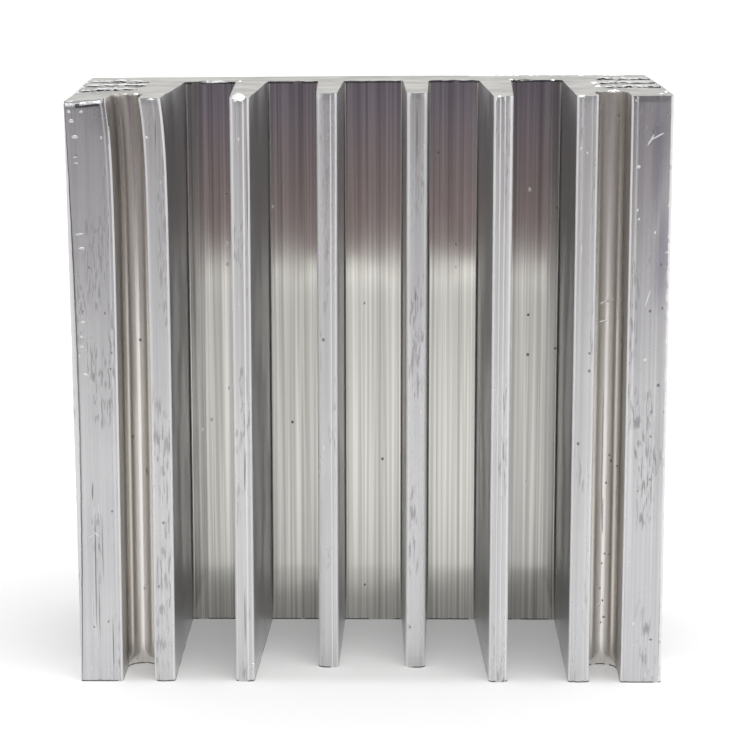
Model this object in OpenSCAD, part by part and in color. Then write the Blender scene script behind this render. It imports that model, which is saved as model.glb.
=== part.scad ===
// Extruded aluminium heat sink for a small fan: one profile, sawn to length.
// It stands on a sawn end with its fins upright, as air rises through it: the profile
// runs up Z, the fins point to -Y, the mounting face looks to +Y and X = 0 is the
// plane of symmetry.

/* [Body] */
// Width across both side walls
body_w = 40; // [38:0.5:60]
// Sawn length of the piece
body_len = 40.3; // [15:0.1:200]
// Height from the mounting face to the fan seat
body_h = 20; // [18.5:0.5:30]
// Thickness of the base plate
base_t = 5; // [3:0.25:8]
// Radius of the four outer corners of the profile
corner_r = 0.35; // [0.1:0.05:1]

/* [Low fins] */
// Distance from the centre plane to the middle of a low fin
low_fin_x = 3.05; // [2.2:0.05:4.2]
// Thickness of a low fin at its root
low_fin_root = 1.85; // [1.6:0.05:2.6]
// Thickness of a low fin at its tip
low_fin_tip = 1.4; // [0.8:0.05:1.6]
// Height of the low fins above the mounting face
low_fin_h = 16.8; // [10:0.1:18.5]

/* [Tall fins] */
// Distance from the centre plane to the middle of a tall fin
tall_fin_x = 8.74; // [7.5:0.02:10.2]
// Thickness of a tall fin at its root
tall_fin_root = 2.3; // [1.9:0.05:3]
// Thickness of a tall fin at its tip
tall_fin_tip = 1.3; // [0.8:0.05:1.8]

/* [Fin edges] */
// Radius of the fin tips
tip_r = 0.3; // [0.1:0.05:0.5]
// Radius of the fillets at the fin roots
root_r = 0.45; // [0.1:0.05:0.8]

/* [Screw channels] */
// Distance between the middles of the two screw channels
screw_pitch = 32.2; // [31:0.1:34]
// Width of a screw channel, which a thread-forming screw cuts into
channel_w = 2.15; // [1.5:0.05:2.8]
// Depth of a screw channel below the fan seat
channel_depth = 4.1; // [2.5:0.1:5.5]
// Thickness of the wall between a screw channel and the next fin gap
channel_wall = 1.45; // [0.8:0.05:2]

/* [Side slots] */
// Number of cooling slots in each side wall
slot_count = 3; // [1:1:3]
// Width of a side slot
slot_w = 1.4; // [0.8:0.1:1.8]
// Depth of a side slot from the outer face
slot_depth = 4; // [1.5:0.1:5]
// Distance from one side slot to the next
slot_pitch = 3.9; // [2.8:0.1:4.2]
// Distance of the first side slot from the mounting face
slot_y = 4.7; // [3.5:0.1:5.6]
// Radius of the edges at the mouth of a side slot
mouth_r = 0.25; // [0.1:0.05:0.45]

/* [Hidden] */
$fn = 48;
// Outer and inner faces of a side wall, and the two faces of its screw channel
wall_out = body_w / 2;
channel_in = screw_pitch / 2 - channel_w / 2;
channel_out = screw_pitch / 2 + channel_w / 2;
wall_in = channel_in - channel_wall;
// How far a piece reaches into its neighbour, so that the two become one
lap = 0.05;
// An easing arc is larger by this share than one that just touches its two edges,
// so that it crosses them at a clear, if very small, angle
bite = 0.004;

// Lean of a fin's flank from the vertical
function lean(root, tip, top) = atan((root - tip) / 2 / (top - base_t));

// The sliver between a corner at p and the arc that eases it. The two edges leave
// the corner at the angles a1 < a2. It is added in a root and taken off a tip.
module ease(p, a1, a2, r) {
    half = (a2 - a1) / 2;
    mid = [cos((a1 + a2) / 2), sin((a1 + a2) / 2)];
    run = r / tan(half);
    centre = p + mid * r / sin(half);
    difference() {
        polygon([
            p - mid * lap,
            p + run * [cos(a1), sin(a1)],
            centre,
            p + run * [cos(a2), sin(a2)]
        ]);
        translate(centre) circle(r * (1 + bite));
    }
}

// One tapered fin with eased tips and filleted roots
module fin(x, root, tip, top) {
    a = lean(root, tip, top);
    r = min(tip_r, 0.45 * tip);
    difference() {
        polygon([
            [x - root / 2, base_t / 2],
            [x + root / 2, base_t / 2],
            [x + root / 2, base_t],
            [x + tip / 2, top],
            [x - tip / 2, top],
            [x - root / 2, base_t]
        ]);
        ease([x + tip / 2, top], 180, 270 + a, r);
        ease([x - tip / 2, top], -90 - a, 0, r);
    }
    ease([x + root / 2, base_t], 0, 90 + a, root_r);
    ease([x - root / 2, base_t], 90 - a, 180, root_r);
}

// Screw channel with a round floor, open towards the fan
module screw_channel() {
    bend_y = body_h - channel_depth + channel_w / 2;
    translate([channel_in, bend_y]) square([channel_w, body_h]);
    translate([screw_pitch / 2, bend_y]) circle(channel_w / 2);
}

// Side slot with a round end, open outwards
module side_slot(y) {
    end_x = wall_out - slot_depth + slot_w / 2;
    translate([end_x, y - slot_w / 2]) square([slot_depth, slot_w]);
    translate([end_x, y]) circle(slot_w / 2);
    ease([wall_out, y + slot_w / 2], 90, 180, mouth_r);
    ease([wall_out, y - slot_w / 2], 180, 270, mouth_r);
}

// Side wall with the screw channel in its edge and the cooling slots in its side
module side_wall() {
    wall_tip_r = min(tip_r, 0.45 * channel_wall);
    difference() {
        translate([wall_in, base_t / 2])
            square([wall_out - wall_in, body_h - base_t / 2]);
        screw_channel();
        ease([wall_in, body_h], -90, 0, wall_tip_r);
        ease([channel_in, body_h], 180, 270, wall_tip_r);
        ease([channel_out, body_h], -90, 0, wall_tip_r);
        ease([wall_out, body_h], 180, 270, corner_r);
    }
    ease([wall_in, base_t], 90, 180, root_r);
}

// Right half of the profile, drawn with its mounting face on the X axis
module half_profile() {
    difference() {
        union() {
            square([wall_out, base_t]);
            fin(low_fin_x, low_fin_root, low_fin_tip, low_fin_h);
            fin(tall_fin_x, tall_fin_root, tall_fin_tip, body_h);
            side_wall();
        }
        for (i = [0 : slot_count - 1]) side_slot(slot_y + i * slot_pitch);
        ease([wall_out, 0], 90, 180, corner_r);
    }
}

module profile() {
    half_profile();
    mirror([1, 0]) half_profile();
}

// The whole piece: the profile drawn up Z and sawn square at both ends
module heat_sink() {
    color("silver")
        linear_extrude(height = body_len)
            translate([0, body_h / 2]) rotate(180) profile();
}

heat_sink();
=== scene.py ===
import math

import bmesh
import bpy
from mathutils import Matrix, Vector, noise


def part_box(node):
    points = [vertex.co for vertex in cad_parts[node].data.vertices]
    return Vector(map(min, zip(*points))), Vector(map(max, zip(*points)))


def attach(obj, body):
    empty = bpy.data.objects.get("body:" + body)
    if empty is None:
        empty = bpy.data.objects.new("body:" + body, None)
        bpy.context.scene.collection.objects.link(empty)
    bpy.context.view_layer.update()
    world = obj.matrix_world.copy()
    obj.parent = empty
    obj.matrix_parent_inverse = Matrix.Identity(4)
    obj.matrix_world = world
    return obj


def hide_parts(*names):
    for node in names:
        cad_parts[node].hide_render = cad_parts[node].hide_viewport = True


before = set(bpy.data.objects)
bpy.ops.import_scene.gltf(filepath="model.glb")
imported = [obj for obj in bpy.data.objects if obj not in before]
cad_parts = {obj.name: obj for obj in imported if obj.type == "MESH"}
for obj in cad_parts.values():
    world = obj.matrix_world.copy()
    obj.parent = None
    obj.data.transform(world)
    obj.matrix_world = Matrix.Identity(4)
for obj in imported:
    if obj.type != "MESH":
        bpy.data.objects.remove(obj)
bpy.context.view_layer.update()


# ---- The drawn profile --------------------------------------------------------------
# The heat sink is one length of extruded aluminium. The die gives it a base plate, low
# and tall tapered fins, and side walls with cooling slots and a screw channel each.
# Lengths are in millimetres: x across, d out of the mounting face, h up the profile.
MM = 0.001
low_corner, high_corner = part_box("heat_sink")
HALF_W = high_corner.x / MM
DEPTH = (high_corner.y - low_corner.y) / MM
LENGTH = high_corner.z / MM
BASE_T = 5.0
SLOT_D = (4.7, 8.6, 12.5)
SLOT_W = 1.4
SLOT_END = HALF_W - 4.0
CHANNEL_IN, CHANNEL_OUT, CHANNEL_FLOOR = 15.025, 17.175, 15.9
WALL_IN = 13.575
TALL_ROOT, TALL_TIP = (7.59, 9.89), (8.09, 9.39)
LOW_ROOT, LOW_TIP, LOW_D = (2.125, 3.975), (2.35, 3.75), 16.8
TIP_R, ROOT_R, CORNER_R, MOUTH_R = 0.2, 0.14, 0.3, 0.25


def half_outline():
    """Corners of the right half, from the middle of the mounting face round to the
    middle gap: x, d, radius, and the spacing of points along the edge that follows."""
    pts = [(0.0, 0.0, 0.0, 4.0), (HALF_W, 0.0, CORNER_R, 1.5)]
    for d in SLOT_D:
        pts += [
            (HALF_W, d - SLOT_W / 2, MOUTH_R, 1.6),
            (SLOT_END, d - SLOT_W / 2, 0.69, 0.7),
            (SLOT_END, d + SLOT_W / 2, 0.69, 1.6),
            (HALF_W, d + SLOT_W / 2, MOUTH_R, 1.2),
        ]
    pts += [
        (HALF_W, DEPTH, CORNER_R, 0.25),
        (CHANNEL_OUT, DEPTH, TIP_R, 1.0),
        (CHANNEL_OUT, CHANNEL_FLOOR, 1.07, 0.3),
        (CHANNEL_IN, CHANNEL_FLOOR, 1.07, 1.0),
        (CHANNEL_IN, DEPTH, TIP_R, 0.14),
        (WALL_IN, DEPTH, TIP_R, 1.6),
        (WALL_IN, BASE_T, ROOT_R, 0.35),
        (TALL_ROOT[1], BASE_T, ROOT_R, 1.6),
        (TALL_TIP[1], DEPTH, TIP_R, 0.12),
        (TALL_TIP[0], DEPTH, TIP_R, 1.6),
        (TALL_ROOT[0], BASE_T, ROOT_R, 0.35),
        (LOW_ROOT[1], BASE_T, ROOT_R, 1.6),
        (LOW_TIP[1], LOW_D, TIP_R, 0.12),
        (LOW_TIP[0], LOW_D, TIP_R, 1.6),
        (LOW_ROOT[0], BASE_T, ROOT_R, 0.35),
        (0.0, BASE_T, 0.0, 0.0),
    ]
    return pts


def rounded(corners):
    """Points along the outline, with each corner turned into an arc and a holding
    point close to each end of an arc."""
    arcs = []
    for i, (x, d, r, _) in enumerate(corners):
        p = Vector((x, d))
        if r == 0.0:
            arcs.append([p])
            continue
        a = (Vector(corners[i - 1][:2]) - p).normalized()
        b = (Vector(corners[i + 1][:2]) - p).normalized()
        half = a.angle(b) / 2
        run = r / math.tan(half)
        centre = p + (a + b).normalized() * (r / math.sin(half))
        start = p + a * run - centre
        turn = start.angle_signed(p + b * run - centre)
        steps = 5 if d > LOW_D - 0.1 or r > 0.5 else 3
        arc = []
        for k in range(steps + 1):
            c, s = math.cos(-turn * k / steps), math.sin(-turn * k / steps)
            arc.append(centre + Vector((start.x * c - start.y * s, start.x * s + start.y * c)))
        arcs.append(arc)
    out = []
    for i, arc in enumerate(arcs):
        out += arc
        if i + 1 == len(arcs):
            break
        p, q = arc[-1], arcs[i + 1][0]
        span = (q - p).length
        count = max(1, int(round(span / corners[i][3])))
        marks = [k / count for k in range(1, count)]
        if span > 0.5:
            marks += [0.05 / span] if corners[i][2] > 0 else []
            marks += [1 - 0.05 / span] if corners[i + 1][2] > 0 else []
        out += [p.lerp(q, m) for m in sorted(marks)]
    return out


def smooth(low, high, value):
    t = min(1.0, max(0.0, (value - low) / (high - low)))
    return t * t * (3 - 2 * t)


# The left wall was knocked: it leans at the sawn top, and flares there towards the
# mounting face. The front rims are rolled over, and every sawn rim is a little ragged.
LEAN, BOW, FLARE = 0.42, 0.06, 0.45
ROLL, CORNER_ROLL, ROLL_H = 0.06, 0.2, 0.36
RAGGED = 0.06
LAND_DROP = 0.2

# Wear has crowned the fin tips: middle of the tip, half width, and how far its left and
# right edges have dropped.
CROWNS = (
    (-14.3, 0.72, 0.07, 0.08), (-8.74, 0.65, 0.18, 0.08), (-3.05, 0.7, 0.22, 0.12),
    (3.05, 0.7, 0.20, 0.20), (8.74, 0.65, 0.13, 0.18), (14.3, 0.72, 0.08, 0.07),
)


def skew(x):
    """How much the saw cut climbs at x, as it wasn't quite square to the bar."""
    return 0.0045 * x + 0.003 * min(0.0, x)


def as_used(x, d, h):
    """Where a point of the drawn profile lies after sawing and handling."""
    up = h / LENGTH
    reach = smooth(BASE_T, DEPTH, d)
    top = math.exp((h - LENGTH) / 2.6)
    for middle, half, left_drop, right_drop in CROWNS:
        t = (x - middle) / half
        if d > LOW_D - 0.4 and abs(t) < 1.1:
            d -= (left_drop if t < 0 else right_drop) * t * t
    if x < -12.0:
        outer = smooth(-17.3, -19.6, x)
        lean = LEAN * top * reach - BOW * math.sin(math.pi * up) * reach
        splay = 0.1 + 0.3 * up
        flare = FLARE * math.exp((h - LENGTH) / 1.2) * smooth(14.0, 0.0, d)
        x -= lean + (splay + flare - lean) * outer
    if d > DEPTH - 0.35 and abs(x) > HALF_W - 0.35:
        rough = noise.noise(Vector((x * 2, 0.0, h * 1.7)))
        rough += 0.6 * noise.noise(Vector((7.0, x, h * 5.1)))
        bite = 0.04 + 0.07 * smooth(0.3, 0.5, up) * smooth(0.85, 0.65, up) * (x > 0)
        x -= math.copysign(bite * max(0.0, rough), x)
    front = smooth(0.93, 1.0, d / (DEPTH if abs(x) > 6 else LOW_D)) * smooth(LENGTH - ROLL_H, LENGTH, h)
    uneven = 0.7 + 0.6 * noise.noise(Vector((x * 2.3, 4.0, 0.0)))
    d -= front * uneven * (ROLL + CORNER_ROLL * smooth(-17.3, -18.2, x))
    ragged = noise.noise(Vector((x * 1.9, d * 1.9, 3.0)))
    ragged += 0.6 * noise.noise(Vector((x * 6, d * 6, 9.0)))
    if abs(x) > 19.6 or d < 1.0:
        ragged *= 0.3
    elif abs(x) > 15.6 and d < 14.0:
        ragged *= 1.6
    h += smooth(LENGTH - 0.3, LENGTH, h) * RAGGED * ragged + smooth(0.3, 0.0, h) * RAGGED * abs(ragged)
    h += skew(x) * up
    h -= LAND_DROP * smooth(-17.5, -20.0, x) * reach * smooth(0.9, 1.0, up)
    return Vector((x, d, h))


# The outer front corner of the left wall is worn to a narrow facet with a groove beside
# it. The facet is widest half way up.
FACET_IN = -19.45
WORN_CORNER = (
    (-20.0, 19.5), (-19.99, 19.66), (-19.94, 19.78), (-19.86, 19.85), (-19.74, 19.91),
    (-19.64, 19.95), (-19.60, 19.96), (-19.57, 19.88), (-19.54, 19.86), (-19.51, 19.9), (-19.48, 20.0),
)


def facet(x, d, h):
    """The worn corner, narrowed towards both ends of the profile."""
    if d > DEPTH - 0.55 and x < FACET_IN:
        up = min(1.0, max(0.0, h / LENGTH))
        x = -HALF_W + (x + HALF_W) * (0.2 + 0.8 * math.sin(math.pi * up))
    return x, d


# A worn die scored a few long lines into the front lands: x, half width and depth.
SCORES = (
    (-17.55, 0.05, 0.03), (-14.15, 0.06, 0.03),
    (-8.45, 0.06, 0.04), (-8.95, 0.04, 0.015), (-2.75, 0.05, 0.03), (2.85, 0.04, 0.02),
    (8.5, 0.05, 0.03), (8.88, 0.06, 0.04), (13.95, 0.05, 0.03), (14.65, 0.04, 0.02),
    (17.6, 0.05, 0.035), (19.15, 0.05, 0.02),
)


def scored(points):
    """The outline with the scored lines cut into its level front lands."""
    clear = [
        p for p in points
        if p.y < LOW_D - 0.01 or all(abs(p.x - x) > 1.7 * half for x, half, deep in SCORES)
    ]
    out = []
    for p, q in zip(clear, clear[1:] + [clear[-1]]):
        out.append(p)
        if abs(p.y - q.y) > 1e-6 or p.y < LOW_D - 0.01:
            continue
        inside = []
        for x, half, deep in SCORES:
            if min(p.x, q.x) < x < max(p.x, q.x):
                for side, share in ((-1.6, 0.0), (-0.8, 0.5), (0.0, 1.0), (0.8, 0.5), (1.6, 0.0)):
                    inside.append(Vector((x + side * half, p.y - share * deep)))
        out += sorted(inside, key=lambda v: v.x, reverse=p.x > q.x)
    return out


right = rounded(half_outline())
left = [Vector((-p.x, p.y)) for p in reversed(right[1:-1])]
land = [p for p in left if p.y > DEPTH - 0.5 and FACET_IN < p.x < -CHANNEL_OUT]
corner = left.index(land[-1]) + 1
past = next(i for i in range(corner, len(left)) if left[i].y < WORN_CORNER[0][1])
left[corner:past] = [Vector(p) for p in reversed(WORN_CORNER)]
outline = scored(right) + scored(left)

# The rings of points stand close together near the sawn ends, for the ragged rims.
near_end = [0.0, 0.03, 0.08, 0.16, 0.3, 0.45]
EVEN = 128
stations = near_end + [0.6 + (LENGTH - 1.2) * k / EVEN for k in range(EVEN + 1)]
stations += [LENGTH - s for s in reversed(near_end)]

drawn = bmesh.new()
rings = []
for h in stations:
    ring = []
    for p in outline:
        x, d = facet(p.x, p.y, h)
        q = as_used(x, d, h)
        ring.append(drawn.verts.new((q.x * MM, (DEPTH / 2 - q.y) * MM, q.z * MM)))
    rings.append(ring)
for a, b in zip(rings, rings[1:]):
    for i in range(len(outline)):
        j = (i + 1) % len(outline)
        drawn.faces.new((a[i], a[j], b[j], b[i]))
drawn.faces.new(rings[0])
drawn.faces.new(list(reversed(rings[-1])))
bmesh.ops.recalc_face_normals(drawn, faces=drawn.faces)
body_mesh = bpy.data.meshes.new("heat_sink_extrusion")
drawn.to_mesh(body_mesh)
drawn.free()
body_mesh.shade_smooth()
body_mesh.set_sharp_from_angle(angle=math.radians(35))
body = bpy.data.objects.new("heat_sink_extrusion", body_mesh)
bpy.context.collection.objects.link(body)


def new_group(name, inputs, outputs):
    """A shader node group with named sockets, and its input and output nodes."""
    group = bpy.data.node_groups.new(name, "ShaderNodeTree")
    for label, kind, value in inputs:
        socket = group.interface.new_socket(name=label, in_out="INPUT", socket_type=kind)
        if value is not None:
            socket.default_value = value
    for label, kind in outputs:
        group.interface.new_socket(name=label, in_out="OUTPUT", socket_type=kind)
    return group, group.nodes.new("NodeGroupInput"), group.nodes.new("NodeGroupOutput")


def math_node(tree, operation, a, b, clamp=False):
    """A Math node whose two operands are sockets or numbers."""
    node = tree.nodes.new("ShaderNodeMath")
    node.operation = operation
    node.use_clamp = clamp
    for socket, value in zip(node.inputs, (a, b)):
        if isinstance(value, (int, float)):
            socket.default_value = value
        else:
            tree.links.new(value, socket)
    return node.outputs[0]


def stretched_noise(tree, vector, across, along, detail, shift=0.0):
    """Noise that is stretched along the profile. Both rates are in waves per metre."""
    place = tree.nodes.new("ShaderNodeMapping")
    place.inputs["Scale"].default_value = (across, across, along)
    place.inputs["Location"].default_value = (shift, shift, shift)
    cloud = tree.nodes.new("ShaderNodeTexNoise")
    cloud.inputs["Scale"].default_value = 1.0
    cloud.inputs["Detail"].default_value = detail
    tree.links.new(vector, place.inputs["Vector"])
    tree.links.new(place.outputs[0], cloud.inputs["Vector"])
    return cloud.outputs["Fac"]


def spread(tree, value, low, high, to_low=0.0, to_high=1.0):
    """A smooth Map Range node."""
    node = tree.nodes.new("ShaderNodeMapRange")
    node.interpolation_type = "SMOOTHSTEP"
    node.inputs["From Min"].default_value = low
    node.inputs["From Max"].default_value = high
    node.inputs["To Min"].default_value = to_low
    node.inputs["To Max"].default_value = to_high
    tree.links.new(value, node.inputs["Value"])
    return node.outputs["Result"]


# Die lines: the fine lines that the die leaves along the whole length.
die_lines, gi, go = new_group(
    "die_lines",
    [("Vector", "NodeSocketVector", None)],
    [("Height", "NodeSocketFloat"), ("Streak", "NodeSocketFloat"), ("Cloud", "NodeSocketFloat")],
)
hair = stretched_noise(die_lines, gi.outputs["Vector"], 5600, 34, 1.0)
line = stretched_noise(die_lines, gi.outputs["Vector"], 2900, 14, 1.0, 5.0)
band = stretched_noise(die_lines, gi.outputs["Vector"], 620, 9, 1.0, 11.0)
cloud = stretched_noise(die_lines, gi.outputs["Vector"], 240, 90, 3.0, 23.0)
height = math_node(die_lines, "ADD", math_node(die_lines, "MULTIPLY", hair, 0.35), line)
die_lines.links.new(math_node(die_lines, "ADD", height, band), go.inputs["Height"])
line_mask, hair_mask = spread(die_lines, line, 0.36, 0.6), spread(die_lines, hair, 0.38, 0.62)
streak = math_node(die_lines, "ADD", line_mask, hair_mask)
die_lines.links.new(math_node(die_lines, "MULTIPLY", streak, 0.5), go.inputs["Streak"])
die_lines.links.new(spread(die_lines, cloud, 0.35, 0.65), go.inputs["Cloud"])

# Handling: the bright and dark specks of a part that was kept loose among others, and the
# short dark rubs, which gather in patches.
handling, gi, go = new_group(
    "handling",
    [("Vector", "NodeSocketVector", None), ("Amount", "NodeSocketFloat", 0.5)],
    [("Bright", "NodeSocketFloat"), ("Dark", "NodeSocketFloat"), ("Scuff", "NodeSocketFloat")],
)
rub_noise = stretched_noise(handling, gi.outputs["Vector"], 7600, 900, 1.0, 63.0)
patch_noise = stretched_noise(handling, gi.outputs["Vector"], 760, 150, 1.0, 71.0)
rub = spread(handling, rub_noise, 0.52, 0.62)
patch = spread(handling, patch_noise, 0.5, 0.62)
handling.links.new(math_node(handling, "MULTIPLY", rub, patch), go.inputs["Scuff"])
for socket, per_metre, along, shift in (("Bright", 1500, 900, 2.0), ("Dark", 1500, 1300, 41.0)):
    place = handling.nodes.new("ShaderNodeMapping")
    place.inputs["Scale"].default_value = (per_metre, per_metre, along)
    place.inputs["Location"].default_value = (shift, shift, shift)
    cells = handling.nodes.new("ShaderNodeTexVoronoi")
    cells.inputs["Scale"].default_value = 1.0
    handling.links.new(gi.outputs["Vector"], place.inputs["Vector"])
    handling.links.new(place.outputs[0], cells.inputs["Vector"])
    spot = spread(handling, cells.outputs["Distance"], 0.2, 0.1)
    pick = handling.nodes.new("ShaderNodeSeparateColor")
    handling.links.new(cells.outputs["Color"], pick.inputs[0])
    rare = math_node(handling, "LESS_THAN", pick.outputs[0], gi.outputs["Amount"])
    handling.links.new(math_node(handling, "MULTIPLY", spot, rare), go.inputs[socket])

# One nick: a spot or scratch at a set place. Across and Along are its two axes, each
# divided by its half size. It goes straight through in depth, so it marks whichever face
# lies there.
nick, gi, go = new_group(
    "nick",
    [
        ("Vector", "NodeSocketVector", None),
        ("Place", "NodeSocketVector", (0, 0, 0)),
        ("Across", "NodeSocketVector", (1, 0, 0)),
        ("Along", "NodeSocketVector", (0, 0, 1)),
        ("Before", "NodeSocketFloat", 0.0),
    ],
    [("Mask", "NodeSocketFloat")],
)
aside = nick.nodes.new("ShaderNodeVectorMath")
aside.operation = "SUBTRACT"
nick.links.new(gi.outputs["Vector"], aside.inputs[0])
nick.links.new(gi.outputs["Place"], aside.inputs[1])
squares = []
for axis in ("Across", "Along"):
    share = nick.nodes.new("ShaderNodeVectorMath")
    share.operation = "DOT_PRODUCT"
    nick.links.new(aside.outputs[0], share.inputs[0])
    nick.links.new(gi.outputs[axis], share.inputs[1])
    squares.append(math_node(nick, "MULTIPLY", share.outputs["Value"], share.outputs["Value"]))
inside = spread(nick, math_node(nick, "ADD", *squares), 1.5, 0.05)
nick.links.new(math_node(nick, "MAXIMUM", inside, gi.outputs["Before"]), go.inputs["Mask"])


def placed_nicks(tree, vector, nicks):
    """One mask for a list of nicks: x, h, half width, half length and tilt in degrees."""
    mask = None
    for x, h, half_width, half_length, tilt in nicks:
        c, s = math.cos(math.radians(tilt)), math.sin(math.radians(tilt))
        node = tree.nodes.new("ShaderNodeGroup")
        node.node_tree = nick
        node.inputs["Place"].default_value = (x * MM, 0, h * MM)
        node.inputs["Across"].default_value = (c / (half_width * MM), 0, -s / (half_width * MM))
        node.inputs["Along"].default_value = (s / (half_length * MM), 0, c / (half_length * MM))
        tree.links.new(vector, node.inputs["Vector"])
        if mask:
            tree.links.new(mask, node.inputs["Before"])
        mask = node.outputs["Mask"]
    return mask


PIT_COLOUR = (0.16, 0.15, 0.15, 1)
SCRAPE_COLOUR = (0.97, 0.97, 0.97, 1)
LAVENDER_TINT = (0.80, 0.78, 0.86, 1)
NICK_RELIEF = 0.035


def bare_metal(
    name, colour, rough, line_depth, tone, pits=0.0,
    bright_nicks=(), dark_nicks=(), tints=(), scuffs=0.0, metallic=1.0,
):
    """Bare drawn aluminium. tone is how far the colour varies across the die lines, pits
    is the share of the surface's cells that carry a mark, and scuffs is how dark the
    rubs are. line_depth is in millimetres."""
    metal = bpy.data.materials.new(name)
    metal.use_nodes = True
    tree = metal.node_tree
    shader = tree.nodes["Principled BSDF"]
    shader.inputs["Metallic"].default_value = metallic
    vector = tree.nodes.new("ShaderNodeTexCoord").outputs["Object"]
    lines = tree.nodes.new("ShaderNodeGroup")
    lines.node_tree = die_lines
    wear = tree.nodes.new("ShaderNodeGroup")
    wear.node_tree = handling
    wear.inputs["Amount"].default_value = pits
    tree.links.new(vector, lines.inputs["Vector"])
    tree.links.new(vector, wear.inputs["Vector"])
    bright, dark = wear.outputs["Bright"], wear.outputs["Dark"]
    raised = None
    if bright_nicks:
        raised = placed_nicks(tree, vector, bright_nicks)
        bright = math_node(tree, "MAXIMUM", bright, raised)
    if dark_nicks:
        dark = math_node(tree, "MAXIMUM", dark, placed_nicks(tree, vector, dark_nicks))
    if scuffs:
        rubbed = math_node(tree, "MULTIPLY", wear.outputs["Scuff"], scuffs)
        dark = math_node(tree, "MAXIMUM", dark, rubbed)
    shades = tree.nodes.new("ShaderNodeMix")
    shades.data_type = "RGBA"
    shades.inputs["A"].default_value = (*[c * (1 - tone) for c in colour], 1)
    shades.inputs["B"].default_value = (*colour, 1)
    tree.links.new(lines.outputs["Streak"], shades.inputs["Factor"])
    toned = shades.outputs["Result"]
    if tints:
        tinted = tree.nodes.new("ShaderNodeMix")
        tinted.data_type = "RGBA"
        tinted.blend_type = "MULTIPLY"
        tinted.inputs["B"].default_value = LAVENDER_TINT
        tree.links.new(toned, tinted.inputs["A"])
        tree.links.new(placed_nicks(tree, vector, tints), tinted.inputs["Factor"])
        toned = tinted.outputs["Result"]
    pitted = tree.nodes.new("ShaderNodeMix")
    pitted.data_type = "RGBA"
    pitted.inputs["B"].default_value = PIT_COLOUR
    tree.links.new(toned, pitted.inputs["A"])
    tree.links.new(math_node(tree, "MULTIPLY", dark, 0.75), pitted.inputs["Factor"])
    scraped = tree.nodes.new("ShaderNodeMix")
    scraped.data_type = "RGBA"
    scraped.inputs["B"].default_value = SCRAPE_COLOUR
    tree.links.new(pitted.outputs["Result"], scraped.inputs["A"])
    tree.links.new(math_node(tree, "MULTIPLY", bright, 0.6), scraped.inputs["Factor"])
    tree.links.new(scraped.outputs["Result"], shader.inputs["Base Color"])
    gloss = spread(tree, lines.outputs["Cloud"], 0.0, 1.0, rough * 0.85, rough * 1.15)
    marked = math_node(tree, "MULTIPLY", math_node(tree, "MAXIMUM", bright, dark), 0.3)
    tree.links.new(math_node(tree, "ADD", gloss, marked, clamp=True), shader.inputs["Roughness"])
    bump = tree.nodes.new("ShaderNodeBump")
    bump.inputs["Strength"].default_value = 1.0
    bump.inputs["Distance"].default_value = line_depth * MM
    tree.links.new(lines.outputs["Height"], bump.inputs["Height"])
    if raised:
        relief = tree.nodes.new("ShaderNodeBump")
        relief.inputs["Strength"].default_value = 1.0
        relief.inputs["Distance"].default_value = NICK_RELIEF * MM
        tree.links.new(raised, relief.inputs["Height"])
        tree.links.new(relief.outputs["Normal"], bump.inputs["Normal"])
    tree.links.new(bump.outputs["Normal"], shader.inputs["Normal"])
    return metal


# The front lands and fin tips are dulled by handling and carry the largest nicks, and
# their rounded edges carry a painted highlight. The gaps between the fins keep the gloss of
# the die. Each nick is x, h, half width and half length in millimetres, and tilt in degrees.
LAND_BRIGHT = (
    (-19.2, 39.3, 0.10, 0.08, 0), (-20.0, 39.3, 0.10, 0.08, 20), (-19.85, 38.7, 0.14, 0.11, 10),
    (-19.65, 37.65, 0.20, 0.09, 5), (-17.9, 37.6, 0.06, 0.10, 0), (-19.65, 36.3, 0.12, 0.05, -10),
    (-19.6, 35.9, 0.12, 0.04, 0), (-19.5, 31.15, 0.26, 0.06, -8), (-19.35, 30.2, 0.20, 0.07, 5),
    (-19.4, 25.2, 0.12, 0.09, 0), (-19.5, 24.2, 0.13, 0.08, 0), (-19.5, 23.5, 0.12, 0.08, 0),
    (-19.7, 22.9, 0.07, 0.10, 0), (-19.3, 21.6, 0.20, 0.07, 15), (-18.9, 12.2, 0.06, 0.4, 4),
    (-18.6, 12.3, 0.06, 0.5, -6), (-19.1, 10.4, 0.06, 0.35, 60), (-18.8, 10.5, 0.06, 0.4, -50),
    (-19.8, 9.4, 0.08, 0.10, 0), (-19.2, 5.0, 0.05, 1.4, 1), (-18.9, 3.2, 0.06, 0.9, -3),
    (18.9, 37.7, 0.05, 0.45, 62), (18.5, 37.5, 0.05, 0.40, 30), (17.7, 35.7, 0.12, 0.10, 0),
    (17.7, 32.8, 0.07, 0.08, 0), (17.8, 32.2, 0.07, 0.08, 0), (19.8, 33.1, 0.09, 0.09, 0),
    (18.9, 31.3, 0.07, 0.08, 0), (19.8, 30.0, 0.22, 0.06, -20), (18.5, 26.9, 0.05, 0.6, 18),
    (18.4, 22.7, 0.10, 0.12, 0), (18.7, 6.6, 0.05, 0.45, 65), (18.1, 2.8, 0.05, 0.30, 40),
)
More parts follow.
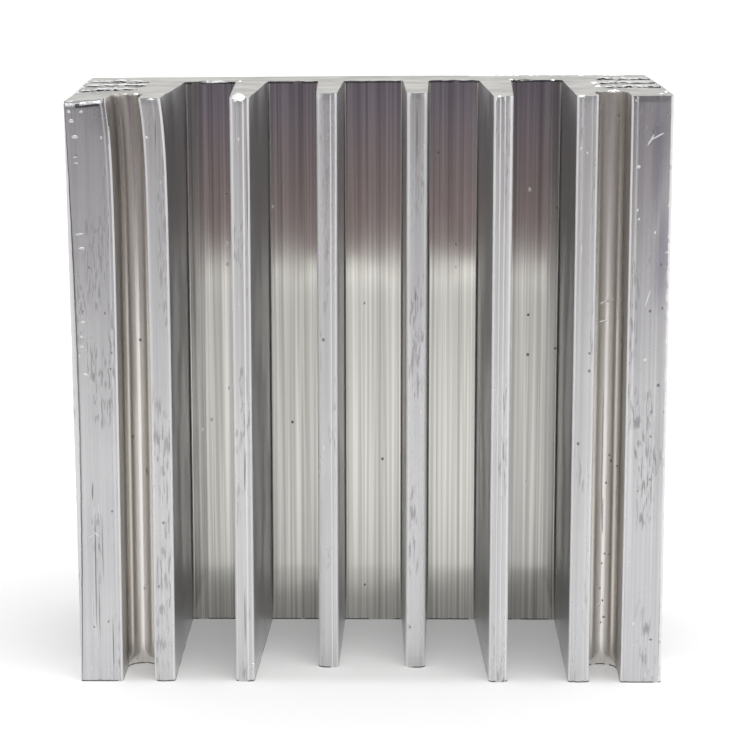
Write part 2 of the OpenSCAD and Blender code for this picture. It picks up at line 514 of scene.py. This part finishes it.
LAND_DARK = (
    (-18.9, 28.9, 0.05, 0.16, -35), (-19.6, 36.4, 0.08, 0.10, 0), (-17.5, 23.1, 0.06, 0.12, 0),
    (-17.6, 22.0, 0.06, 0.10, 0), (-17.9, 25.8, 0.06, 0.12, 0), (-17.7, 12.1, 0.07, 0.09, 0),
    (-19.1, 3.9, 0.07, 0.07, 0), (-18.1, 4.3, 0.05, 0.14, 20), (-19.4, 25.9, 0.05, 0.16, 30),
    (-17.8, 2.6, 0.04, 2.0, 0), (19.8, 29.2, 0.08, 0.10, 0), (19.5, 26.2, 0.07, 0.09, 0),
    (18.9, 19.1, 0.07, 0.09, 0), (19.8, 19.1, 0.10, 0.10, 0), (18.9, 17.4, 0.07, 0.09, 0),
    (18.9, 14.4, 0.06, 0.08, 0), (18.1, 13.6, 0.06, 0.08, 0), (19.8, 5.6, 0.04, 4.0, 0.6),
    (19.2, 3.1, 0.12, 0.08, 0), (-18.9, 8.0, 0.04, 4.5, 0.5), (-18.4, 9.5, 0.03, 2.2, -0.5),
    (-18.7, 5.0, 0.03, 2.0, 0), (-19.0, 13.5, 0.05, 0.7, 2),
)
TIP_BRIGHT = (
    (-8.8, 37.5, 0.07, 0.09, 0), (13.9, 36.9, 0.08, 0.10, 0), (14.3, 36.6, 0.06, 0.08, 0),
    (-14.9, 37.6, 0.13, 0.07, 0), (-8.9, 26.4, 0.07, 0.10, 0), (-14.8, 13.4, 0.07, 0.5, 0),
    (8.3, 31.0, 0.04, 0.5, 0), (14.0, 30.2, 0.06, 0.4, 0),
)
TIP_DARK = (
    (-14.6, 6.8, 0.08, 0.12, 0), (-14.2, 11.3, 0.10, 0.10, 30), (-14.3, 37.9, 0.05, 1.2, 1),
    (-8.25, 34.6, 0.05, 3.6, 0.3), (3.05, 37.6, 0.06, 2.2, 0), (8.85, 34.5, 0.06, 3.2, 0),
    (3.0, 26.5, 0.05, 0.4, 0), (-8.6, 15.0, 0.05, 1.6, 1), (-8.7, 4.6, 0.04, 2.0, 0),
)
# A lavender tint is multiplied into the colour in patches near the top of the right land.
LAND_TINT = ((18.95, 36.5, 0.32, 5.0, 0), (19.35, 29.5, 0.5, 3.5, 3), (18.9, 37.0, 0.25, 0.6, 0))
CHANNEL_BRIGHT = (
    (16.1, 26.0, 0.05, 0.5, 70), (15.9, 24.6, 0.05, 0.3, 80), (16.0, 15.2, 0.03, 4.5, 0),
    (-16.0, 5.5, 0.08, 0.09, 0), (16.1, 10.8, 0.04, 1.2, 0), (15.9, 4.4, 0.05, 0.2, 60),
)
CHANNEL_DARK = (
    (16.5, 15.2, 0.07, 0.10, 0), (16.6, 14.8, 0.06, 0.10, 0), (17.0, 14.5, 0.06, 0.09, 0),
    (16.3, 13.2, 0.07, 0.10, 0), (16.3, 8.1, 0.07, 0.10, 0), (16.6, 8.1, 0.06, 0.09, 0),
    (16.1, 7.4, 0.06, 0.09, 0), (16.0, 5.6, 0.07, 0.10, 0), (16.2, 4.7, 0.07, 0.10, 0),
    (16.3, 3.5, 0.10, 0.10, 0), (16.1, 3.1, 0.06, 0.09, 0), (-15.7, 14.0, 0.05, 0.3, 0),
)
mill_finish = bare_metal(
    "mill_finish", (0.65, 0.64, 0.60), rough=0.09, line_depth=0.003, tone=0.42, pits=0.035
)
# Painted shade: a darker copy of the mill finish for the floor of the gap right of the right tall fin.
gap_floor_painted_shade = bare_metal(
    "gap_floor_painted_shade", (0.54, 0.53, 0.50), rough=0.09, line_depth=0.003, tone=0.42, pits=0.035
)
fin_walls = bare_metal(
    "fin_walls", (0.66, 0.66, 0.665), rough=0.36, line_depth=0.0003, tone=0.12, pits=0.02
)
front_lands = bare_metal(
    "front_lands", (0.64, 0.64, 0.65), rough=0.3, line_depth=0.005, tone=0.14, pits=0.015,
    bright_nicks=LAND_BRIGHT, dark_nicks=LAND_DARK, tints=LAND_TINT, scuffs=0.55, metallic=0.9,
)
fin_tips = bare_metal(
    "fin_tips", (0.70, 0.70, 0.705), rough=0.3, line_depth=0.005, tone=0.14, pits=0.015,
    bright_nicks=TIP_BRIGHT, dark_nicks=TIP_DARK, scuffs=0.5, metallic=0.65,
)
channel_walls = bare_metal(
    "channel_walls", (0.84, 0.815, 0.785), rough=0.2, line_depth=0.002, tone=0.14, pits=0.02,
    bright_nicks=CHANNEL_BRIGHT, dark_nicks=CHANNEL_DARK,
)
channel_sides = bare_metal("channel_sides", (0.62, 0.60, 0.575), rough=0.42, line_depth=0.001, tone=0.1)
# Painted highlight: a near-white, mostly non-metal finish on the rounded edges of the lands and tips,
# standing in for their glints.
edge_painted_highlight = bare_metal(
    "edge_painted_highlight", (0.97, 0.97, 0.98), rough=0.4, line_depth=0.004, tone=0.1, metallic=0.15
)
# Painted shade: nearly black walls inside the slots, where little light gets in.
slot_painted_shade = bare_metal("slot_painted_shade", (0.14, 0.14, 0.15), rough=0.5, line_depth=0.002, tone=0.3)
# Painted shade: a dark finish for the shadow under the burr lips and the contact shade along the foot.
rim_and_foot_painted_shade = bare_metal("rim_and_foot_painted_shade", (0.16, 0.16, 0.17), rough=0.5, line_depth=0.004, tone=0.5)
outer_faces = bare_metal(
    "outer_faces", (0.62, 0.615, 0.605), rough=0.3, line_depth=0.005, tone=0.12, pits=0.02, scuffs=0.35
)


# ---- The sawn ends -------------------------------------------------------------------
# A circular saw cut the bar to length. Its teeth leave faint arcs across both ends and a
# matt, slightly warm face.
sawn_end = bpy.data.materials.new("sawn_end")
sawn_end.use_nodes = True
saw_tree = sawn_end.node_tree
saw_shader = saw_tree.nodes["Principled BSDF"]
saw_shader.inputs["Metallic"].default_value = 1.0
saw_place = saw_tree.nodes.new("ShaderNodeTexCoord").outputs["Object"]
saw_centre = saw_tree.nodes.new("ShaderNodeVectorMath")
saw_centre.operation = "MULTIPLY_ADD"
saw_centre.inputs[1].default_value = (1, 1, 0)
saw_centre.inputs[2].default_value = (0.03, 0.14, 0)
saw_reach = saw_tree.nodes.new("ShaderNodeVectorMath")
saw_reach.operation = "LENGTH"
saw_tree.links.new(saw_place, saw_centre.inputs[0])
saw_tree.links.new(saw_centre.outputs[0], saw_reach.inputs[0])
saw_arcs = saw_tree.nodes.new("ShaderNodeTexNoise")
saw_arcs.noise_dimensions = "1D"
saw_arcs.inputs["Scale"].default_value = 5200
saw_arcs.inputs["Detail"].default_value = 3.0
saw_tree.links.new(saw_reach.outputs["Value"], saw_arcs.inputs["W"])
saw_smear = stretched_noise(saw_tree, saw_place, 380, 380, 3.0)
saw_mix = saw_tree.nodes.new("ShaderNodeMix")
saw_mix.data_type = "RGBA"
saw_mix.inputs["A"].default_value = (0.44, 0.44, 0.415, 1)
saw_mix.inputs["B"].default_value = (0.565, 0.565, 0.535, 1)
saw_tree.links.new(spread(saw_tree, saw_smear, 0.3, 0.7), saw_mix.inputs["Factor"])
saw_tree.links.new(saw_mix.outputs["Result"], saw_shader.inputs["Base Color"])
saw_tree.links.new(spread(saw_tree, saw_smear, 0.3, 0.7, 0.62, 0.48), saw_shader.inputs["Roughness"])
saw_bump = saw_tree.nodes.new("ShaderNodeBump")
saw_bump.inputs["Strength"].default_value = 1.0
saw_bump.inputs["Distance"].default_value = 0.012 * MM
saw_tree.links.new(saw_arcs.outputs["Fac"], saw_bump.inputs["Height"])
saw_tree.links.new(saw_bump.outputs["Normal"], saw_shader.inputs["Normal"])

# Painted shade: a broken dark line under the rims, for the shadow under the burr lips and
# the rolled rim, and a dark line along the foot for contact shade. The bands are measured
# down from the sawn top.
RIM_BAND = (0.03, 0.19)
ROLL_BAND = (0.4, 0.56)
FOOT_LINE = 0.09
LOW_FINS = 4.2
FINISHES = (
    mill_finish, sawn_end, front_lands, channel_walls, outer_faces, fin_walls, channel_sides,
    slot_painted_shade, rim_and_foot_painted_shade, fin_tips, gap_floor_painted_shade, edge_painted_highlight,
)
for finish in FINISHES:
    body_mesh.materials.append(finish)


def finish_at(f):
    """The finish of a face of the body, from its middle and its normal."""
    x, out, h = f.center.x / MM, DEPTH / 2 - f.center.y / MM, f.center.z / MM
    across = abs(x)
    if len(f.vertices) > 4:
        return sawn_end
    # The walls inside the slots take the painted shade.
    if out < 14.0 and SLOT_END - 0.05 < across < HALF_W - 0.05 and out > 3.5:
        return slot_painted_shade
    below = LENGTH + skew(x) - h
    broken = noise.noise(Vector((x * 1.3, out * 1.3, h)))
    # Painted shade in a broken band under the rims, and along the foot.
    if across < WALL_IN and BASE_T - 0.1 < out < BASE_T + 0.2:
        if RIM_BAND[0] < below < RIM_BAND[1] and broken > -0.25:
            return rim_and_foot_painted_shade
    rolled = x < -17.4 and out > DEPTH - 0.4
    if rolled and ROLL_BAND[0] < below < ROLL_BAND[1] and broken > -0.1:
        return rim_and_foot_painted_shade
    if h < FOOT_LINE and broken > -0.2:
        return rim_and_foot_painted_shade
    tip = out > DEPTH - 0.35 or (out > LOW_D - 0.35 and across < LOW_FINS)
    # The rounded edges of the lands and tips take the painted highlight.
    if tip and -0.9 < f.normal.y < -0.3 and (across < 17.4 or x > 17.4):
        return edge_painted_highlight
    if f.normal.y < -0.5 and (out > DEPTH - 0.5 or (out > LOW_D - 0.4 and across < LOW_FINS)):
        return front_lands if across > CHANNEL_OUT - 0.1 else fin_tips
    if out > CHANNEL_FLOOR - 0.1 and CHANNEL_IN - 0.25 < across < CHANNEL_OUT + 0.7:
        return channel_walls if f.normal.y < -0.3 else channel_sides
    if across < WALL_IN and out < BASE_T + 0.2 and 0.1 < abs(f.normal.x) < 0.97:
        return channel_sides
    if out < 0.4 or across > HALF_W - 0.35:
        return outer_faces
    if abs(f.normal.x) > 0.75 and across < CHANNEL_IN:
        return fin_walls
    # Faces right of the right tall fin take the darker copy, which is painted shade.
    return gap_floor_painted_shade if x > TALL_ROOT[1] else mill_finish


for f in body_mesh.polygons:
    f.material_index = FINISHES.index(finish_at(f))
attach(body, "root")
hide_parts("heat_sink")


# ---- Saw burrs ------------------------------------------------------------------------
# The saw pushed thin slivers of metal over the rims of the upper end: ragged lips along
# both sides and the back, folds at the slots, and bright chips on some of the tips.
burr_metal = bare_metal("burr_metal", (0.95, 0.95, 0.94), rough=0.22, line_depth=0.004, tone=0.1)


def settled(x, d, h):
    """A point of the used piece in metres, from its place on the drawn profile."""
    p = as_used(x, d, h)
    return Vector((p.x * MM, (DEPTH / 2 - p.y) * MM, p.z * MM))


def torn_lip(name, spine, lean, wide, thick, seed):
    """A ragged sliver along a spine of (x, d, h) points. It leans the way of lean, is up
    to wide across, and runs out to nothing at both ends."""
    points = [Vector(p) for p in spine]
    rings = []
    mesh = bmesh.new()
    toward = Vector((lean[0], -lean[1], lean[2])).normalized()
    for a, b in zip(points, points[1:]):
        steps = max(2, int((b - a).length / 0.12))
        for k in range(steps + (b is points[-1])):
            rings.append(a.lerp(b, k / steps))
    previous = None
    for k, p in enumerate(rings):
        t = k / (len(rings) - 1)
        taper = math.sin(math.pi * t) ** 0.4 if 0 < t < 1 else 0.02
        tear = 0.45 + 0.55 * noise.noise(Vector((k * 0.33, seed, 0)))
        tear += 0.4 * noise.noise(Vector((k * 0.9, seed, 5)))
        foot = settled(*p)
        ahead, back = settled(*rings[min(k + 1, len(rings) - 1)]), settled(*rings[max(k - 1, 0)])
        across = toward.cross(ahead - back).normalized()
        tip = foot + toward * wide * MM * taper * max(0.08, tear)
        sway = across * (noise.noise(Vector((k * 0.5, seed, 9))) * wide * 0.25 * MM)
        ring = [
            mesh.verts.new(foot + across * thick * MM * taper / 2 - toward * 0.04 * MM),
            mesh.verts.new(foot - across * thick * MM * taper / 2 - toward * 0.04 * MM),
            mesh.verts.new(tip + sway),
        ]
        if previous:
            for i in range(3):
                mesh.faces.new((previous[i], previous[(i + 1) % 3], ring[(i + 1) % 3], ring[i]))
        else:
            mesh.faces.new(ring)
        previous = ring
    mesh.faces.new(list(reversed(previous)))
    bmesh.ops.recalc_face_normals(mesh, faces=mesh.faces)
    finish_burr(name, mesh)


def chip(name, place, half, seed, tilt=42):
    """A small rolled crumb of metal. Its broad side leans back from the face that it was
    pushed over, by tilt in degrees."""
    mesh = bmesh.new()
    bmesh.ops.create_icosphere(mesh, subdivisions=4, radius=1.0)
    lean = Matrix.Rotation(math.radians(-tilt), 3, "X")
    centre = settled(*place)
    for v in mesh.verts:
        lump = 1 + 0.22 * noise.noise(v.co * 2.2 + Vector((seed, 0, 0)))
        crumb = Vector((v.co.x * half[0], v.co.y * half[1], v.co.z * half[2])) * lump * MM
        v.co = lean @ crumb + centre
    finish_burr(name, mesh)


def finish_burr(name, mesh):
    data = bpy.data.meshes.new(name)
    mesh.to_mesh(data)
    mesh.free()
    data.shade_smooth()
    data.set_sharp_from_angle(angle=math.radians(40))
    data.materials.append(burr_metal)
    piece = bpy.data.objects.new(name, data)
    bpy.context.collection.objects.link(piece)
    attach(piece, "root")


TOP = LENGTH
LEFT_RIM = ((-19.95, 0.4, TOP), (-20, 7, TOP), (-20, 19.2, TOP))
RIGHT_RIM = ((19.95, 1.0, TOP), (20, 8, TOP), (20, 19.4, TOP))
BACK_RIM = ((7.0, 0.1, TOP), (12, 0.05, TOP), (18.6, 0.1, TOP))
torn_lip("burr_left_rim", LEFT_RIM, (-1, 0, 0.5), 0.14, 0.1, 1.0)
torn_lip("burr_right_rim", RIGHT_RIM, (1, 0, 0.5), 0.16, 0.1, 2.0)
torn_lip("burr_back_rim", BACK_RIM, (0, 0, 1), 0.12, 0.22, 3.0)
for side in (-1, 1):
    label = "left" if side < 0 else "right"
    for i, d in enumerate(SLOT_D):
        for edge, sign, wide in (("back", -1, 0.24), ("front", 1, 0.15)):
            rim = d + sign * (SLOT_W / 2 + 0.02)
            torn_lip(
                f"burr_{label}_slot_{i + 1}_{edge}",
                ((side * 16.0, rim, TOP), (side * 18.0, rim, TOP), (side * 19.8, rim, TOP)),
                (0.1 * side, sign, 1.0 if sign < 0 else 0.3), wide, 0.1, 6.0 + 3 * i + sign + side,
            )
torn_lip("burr_channel_left", ((-16.9, 16.1, TOP), (-15.4, 16.0, TOP)), (0, 0.8, 0.5), 0.22, 0.12, 32.0)
torn_lip("burr_gap_left", ((-12.6, 5.0, TOP), (-10.4, 5.0, TOP)), (0, 0.7, 0.7), 0.3, 0.12, 33.0)
torn_lip("burr_gap_right", ((10.0, 5.0, TOP), (11.6, 5.0, TOP)), (0, 0.8, 0.5), 0.28, 0.12, 34.0)
CHIPS = (
    ("chip_tall_left", (-8.78, 19.88, TOP), (0.43, 0.1, 0.36)),
    ("chip_wall_right", (13.9, 19.95, TOP - 0.05), (0.24, 0.07, 0.13)),
    ("chip_wall_left", (-14.2, 19.95, TOP - 0.06), (0.24, 0.06, 0.10)),
    ("chip_tall_right", (8.45, 19.95, TOP - 0.04), (0.15, 0.06, 0.10)),
    ("chip_slot_right_a", (15.6, 8.7, TOP), (0.26, 0.07, 0.12)),
    ("chip_slot_right_b", (15.6, 11.7, TOP), (0.22, 0.07, 0.10)),
    ("chip_channel_right", (16.3, 16.1, TOP), (0.42, 0.07, 0.12)),
    ("chip_channel_left", (-15.6, 16.2, TOP), (0.16, 0.06, 0.12)),
    ("chip_land_curl", (17.45, 19.9, TOP - 0.2), (0.07, 0.06, 0.22)),
    ("chip_land_curl_top", (17.7, 19.9, TOP - 0.02), (0.2, 0.06, 0.07)),
    ("chip_right_corner", (19.3, 18.4, TOP), (0.16, 0.07, 0.12)),
    ("chip_right_rim", (19.75, 16.9, TOP), (0.12, 0.06, 0.10)),
    ("chip_gap_left", (-9.6, 5.1, TOP), (0.13, 0.06, 0.10)),
    ("chip_gap_right_a", (9.9, 5.15, TOP), (0.14, 0.06, 0.09)),
    ("chip_gap_right_b", (12.9, 5.2, TOP), (0.14, 0.06, 0.09)),
    ("chip_left_corner", (-19.3, 19.9, TOP - 0.05), (0.6, 0.05, 0.12)),
    ("chip_tall_foot", (-8.2, 19.95, 1.25), (0.08, 0.05, 0.10)),
)
for seed, (name, place, half) in enumerate(CHIPS):
    chip(name, place, half, seed)


# ---- The studio ----------------------------------------------------------------------
# The piece stands on white paper in a white room with a soft light above it. A hand's
# width in front of it the paper gives way to a dark table, and beyond that stands a dim
# wall. The metal mirrors both of them, and they are kept out of the picture.
PAPER_EDGE = 0.18
CAMERA_PLACE = (0.001624, -0.17092, 0.052778)
CAMERA_ROLL = 0.0086
CAMERA_DIP = 0.1913
camera_data = bpy.data.cameras.new("camera")
camera_data.sensor_width = 36.0
camera_data.lens = 116.7
camera_data.clip_start = 0.01
camera = bpy.data.objects.new("camera", camera_data)
bpy.context.collection.objects.link(camera)
camera.matrix_world = (
    Matrix.Translation(CAMERA_PLACE)
    @ Matrix.Rotation(math.radians(90), 4, "X")
    @ Matrix.Rotation(CAMERA_ROLL, 4, "Y")
    @ Matrix.Rotation(-CAMERA_DIP, 4, "X")
)
bpy.context.scene.camera = camera

FLOOR_HALF = 3.0
floor_mesh = bpy.data.meshes.new("floor")
floor_mesh.from_pydata(
    [(x * FLOOR_HALF, y * FLOOR_HALF, 0) for x, y in ((-1, -1), (1, -1), (1, 1), (-1, 1))],
    [],
    [(0, 1, 2, 3)],
)
floor = bpy.data.objects.new("floor", floor_mesh)
bpy.context.collection.objects.link(floor)
paper = bpy.data.materials.new("white_paper")
paper.use_nodes = True
paper_tree = paper.node_tree
paper_shader = paper_tree.nodes["Principled BSDF"]
paper_shader.inputs["Roughness"].default_value = 0.9
paper_shader.inputs["Specular IOR Level"].default_value = 0.0
split = paper_tree.nodes.new("ShaderNodeSeparateXYZ")
paper_tree.links.new(paper_tree.nodes.new("ShaderNodeTexCoord").outputs["Object"], split.inputs[0])
paper_shade = paper_tree.nodes.new("ShaderNodeMix")
paper_shade.data_type = "RGBA"
paper_shade.inputs["A"].default_value = (0.77, 0.77, 0.76, 1)
paper_shade.inputs["B"].default_value = (0.97, 0.97, 0.97, 1)

# The paper's colour is painted darker far out in front, and painted shade between the fins, where
# little light reaches.
near_piece = spread(paper_tree, split.outputs["Y"], -PAPER_EDGE, -0.03)
in_front = spread(paper_tree, split.outputs["Y"], -0.0085, -0.0112)
off_middle = math_node(paper_tree, "ABSOLUTE", split.outputs["X"], 0.0)
beside = spread(paper_tree, off_middle, 0.0165, 0.0175)
behind = spread(paper_tree, split.outputs["Y"], 0.009, 0.01)
lit = math_node(paper_tree, "MAXIMUM", math_node(paper_tree, "MAXIMUM", in_front, beside), behind)
near_piece = math_node(paper_tree, "MULTIPLY", near_piece, lit)
paper_tree.links.new(near_piece, paper_shade.inputs["Factor"])
paper_tree.links.new(paper_shade.outputs["Result"], paper_shader.inputs["Base Color"])


def background_rays(tree):
    """1 where the background is looked at, straight or in a mirroring or clear surface."""
    rays = tree.nodes.new("ShaderNodeLightPath")
    glossy, clear = rays.outputs["Is Glossy Ray"], rays.outputs["Is Transmission Ray"]
    mirrored = math_node(tree, "MAXIMUM", glossy, clear)
    return math_node(tree, "MAXIMUM", rays.outputs["Is Camera Ray"], mirrored)


# The paper is whitened least close to the piece, so that it keeps the piece's shadow.
LEAST_WHITE, SIDE_WHITE = 0.2, 0.45
whitened = spread(paper_tree, split.outputs["Y"], -0.15, -PAPER_EDGE, LEAST_WHITE, 1.0)
for side, start, end in ((off_middle, 0.028, 0.06), (split.outputs["Y"], 0.012, 0.05)):
    clear_of_piece = spread(paper_tree, side, start, end, LEAST_WHITE, SIDE_WHITE)
    whitened = math_node(paper_tree, "MAXIMUM", whitened, clear_of_piece)
paper_tree.links.new(
    math_node(paper_tree, "MULTIPLY", background_rays(paper_tree), whitened),
    paper_shader.inputs["Emission Strength"],
)
paper_shader.inputs["Emission Color"].default_value = (1, 1, 1, 1)
floor_mesh.materials.append(paper)

world = bpy.data.worlds.new("studio")
bpy.context.scene.world = world
world.use_nodes = True
sky = world.node_tree
heading = sky.nodes.new("ShaderNodeSeparateXYZ")
sky.links.new(sky.nodes.new("ShaderNodeTexCoord").outputs["Generated"], heading.inputs[0])
overhead = spread(sky, heading.outputs["Z"], 0.1, 0.75, 0.12, 0.62)
backdrop = spread(sky, heading.outputs["Y"], 0.1, 0.6, 0.0, 0.85)
flanks = spread(sky, math_node(sky, "ABSOLUTE", heading.outputs["X"], 0.0), 0.45, 0.85, 0.0, 0.9)
light = math_node(sky, "MAXIMUM", math_node(sky, "MAXIMUM", overhead, backdrop), flanks)
light = math_node(sky, "MAXIMUM", light, background_rays(sky))
sky.nodes["Background"].inputs["Color"].default_value = (1.0, 0.99, 1.0, 1)
sky.links.new(light, sky.nodes["Background"].inputs["Strength"])


def flag(name, corners):
    """A dark card in front of the piece, out of the picture, that the metal mirrors."""
    material = bpy.data.materials.new(name)
    material.use_nodes = True
    mesh = bpy.data.meshes.new(name)
    mesh.from_pydata(corners, [], [(0, 1, 2, 3)])
    mesh.materials.append(material)
    obj = bpy.data.objects.new(name, mesh)
    bpy.context.collection.objects.link(obj)
    obj.visible_camera = False
    shader = material.node_tree.nodes["Principled BSDF"]
    shader.inputs["Roughness"].default_value = 0.9
    shader.inputs["Specular IOR Level"].default_value = 0.0
    place = material.node_tree.nodes.new("ShaderNodeSeparateXYZ")
    coords = material.node_tree.nodes.new("ShaderNodeTexCoord")
    material.node_tree.links.new(coords.outputs["Object"], place.inputs[0])
    return material.node_tree, shader, place


# The table in front of the paper is bare and dark.
TABLE_TOP = 0.0004
table_tree, table_shader, table_place = flag(
    "dark_table",
    [
        (-FLOOR_HALF, -FLOOR_HALF, TABLE_TOP), (FLOOR_HALF, -FLOOR_HALF, TABLE_TOP),
        (FLOOR_HALF, -PAPER_EDGE, TABLE_TOP), (-FLOOR_HALF, -PAPER_EDGE, TABLE_TOP),
    ],
)
far_table = spread(table_tree, table_place.outputs["Y"], -0.5, -0.25)
table_tone = table_tree.nodes.new("ShaderNodeMix")
table_tone.data_type = "RGBA"
table_tone.inputs["A"].default_value = (0.272, 0.244, 0.306, 1)
table_tone.inputs["B"].default_value = (0.300, 0.240, 0.248, 1)
table_tree.links.new(far_table, table_tone.inputs["Factor"])
table_tree.links.new(table_tone.outputs["Result"], table_shader.inputs["Base Color"])

# A dim wall stands across the front of the room, darkest at its foot. It is a glowing card, no lamp,
# and its glow is painted light of a lit wall.
WALL_HALF, WALL_AWAY, WALL_HIGH = 0.75, 1.0, 1.3
wall_tree, wall_shader, wall_place = flag(
    "glowing_wall",
    [
        (-WALL_HALF, -WALL_AWAY, 0), (WALL_HALF, -WALL_AWAY, 0),
        (WALL_HALF, -WALL_AWAY, WALL_HIGH), (-WALL_HALF, -WALL_AWAY, WALL_HIGH),
    ],
)
wall_shader.inputs["Base Color"].default_value = (0, 0, 0, 1)
wall_shader.inputs["Emission Color"].default_value = (1, 0.99, 1, 1)
# The wall's glow is painted light, brighter up the wall.
wall_light = spread(wall_tree, wall_place.outputs["Z"], 0.1, 1.2, 0.12, 0.65)
wall_tree.links.new(wall_light, wall_shader.inputs["Emission Strength"])


def soft_lamp(name, place, aim, size_x, size_y, power):
    lamp = bpy.data.lights.new(name, "AREA")
    lamp.shape = "RECTANGLE"
    lamp.size, lamp.size_y = size_x, size_y
    lamp.energy = power
    obj = bpy.data.objects.new(name, lamp)
    bpy.context.collection.objects.link(obj)
    obj.location = place
    obj.rotation_euler = (Vector(aim) - Vector(place)).to_track_quat("-Z", "Y").to_euler()


soft_lamp("overhead_panel", (0.1, -0.22, 0.65), (0, -0.03, 0), 0.4, 0.4, 1.7)

bpy.context.scene.view_settings.view_transform = "Standard"
